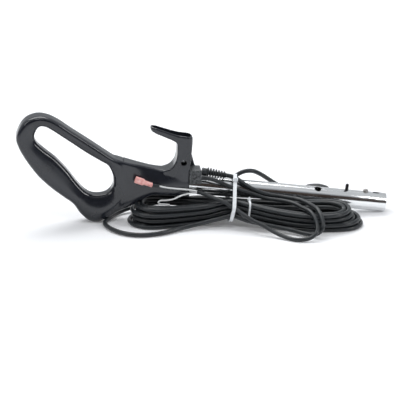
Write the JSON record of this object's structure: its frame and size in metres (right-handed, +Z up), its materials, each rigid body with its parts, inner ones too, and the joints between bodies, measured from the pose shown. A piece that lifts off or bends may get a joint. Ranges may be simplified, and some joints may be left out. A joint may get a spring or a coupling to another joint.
{
  "type": "upright vacuum cleaner handle",
  "caption": "Moulded loop grip with an open cord hook on a chrome tube, with its power cord wound into a flat hank and tied to the tube, and a stripped motor lead.",
  "frame": {"origin": "on the table, midway along the handle from the grip's rear end to the tube's far end, in the parting plane of the grip", "axes": "+X from the grip towards the tube's far end, +Z up from the table, +Y to the back, away from the hank"},
  "size_m": [0.5028, 0.1649, 0.154],
  "materials": {
    "grip_plastic": "satin moulded",
    "zinc": "zinc plated",
    "chrome": "polished",
    "dark_steel": "blackened",
    "cord_rubber": "satin",
    "brass": "bright",
    "white_wire": "smooth",
    "pink_plastic": "translucent look, smooth",
    "tie_plastic": "natural nylon"
  },
  "bodies": {
    "handle": {"grip_front_shell": "grip_plastic", "grip_back_shell": "grip_plastic", "cord_clamp": "grip_plastic", "shell_screw_1": "zinc", "shell_screw_2": "zinc", "shell_screw_3": "zinc", "shell_screw_4": "zinc", "shell_screw_5": "zinc", "socket_screw": "zinc", "chrome_tube": "chrome", "hitch_bolt": "dark_steel", "button_spring": "zinc", "strain_relief": "cord_rubber", "power_cord_lead_in": "cord_rubber", "power_cord_hank": "cord_rubber", "power_cord_tail": "cord_rubber", "plug_body": "cord_rubber", "plug_blade_1": "brass", "plug_blade_2": "brass", "motor_lead": "cord_rubber", "white_wire_upper": "white_wire", "white_wire_folded": "white_wire", "wire_sleeve": "cord_rubber", "terminal_sleeve": "pink_plastic", "terminal_receptacle": "brass", "cable_tie": "tie_plastic", "front_tie": "tie_plastic"},
    "button": {"snap_button": "dark_steel"}
  },
  "joints": [
    {"name": "button_press", "type": "slide", "parent": "handle", "child": "button", "axis": [-0.1323, 0, -0.9912], "range_m": [0, 0.0034], "stiffness_N_per_m": 800, "springref_m": -0.001, "deforming": ["button_spring"]}
  ]
}
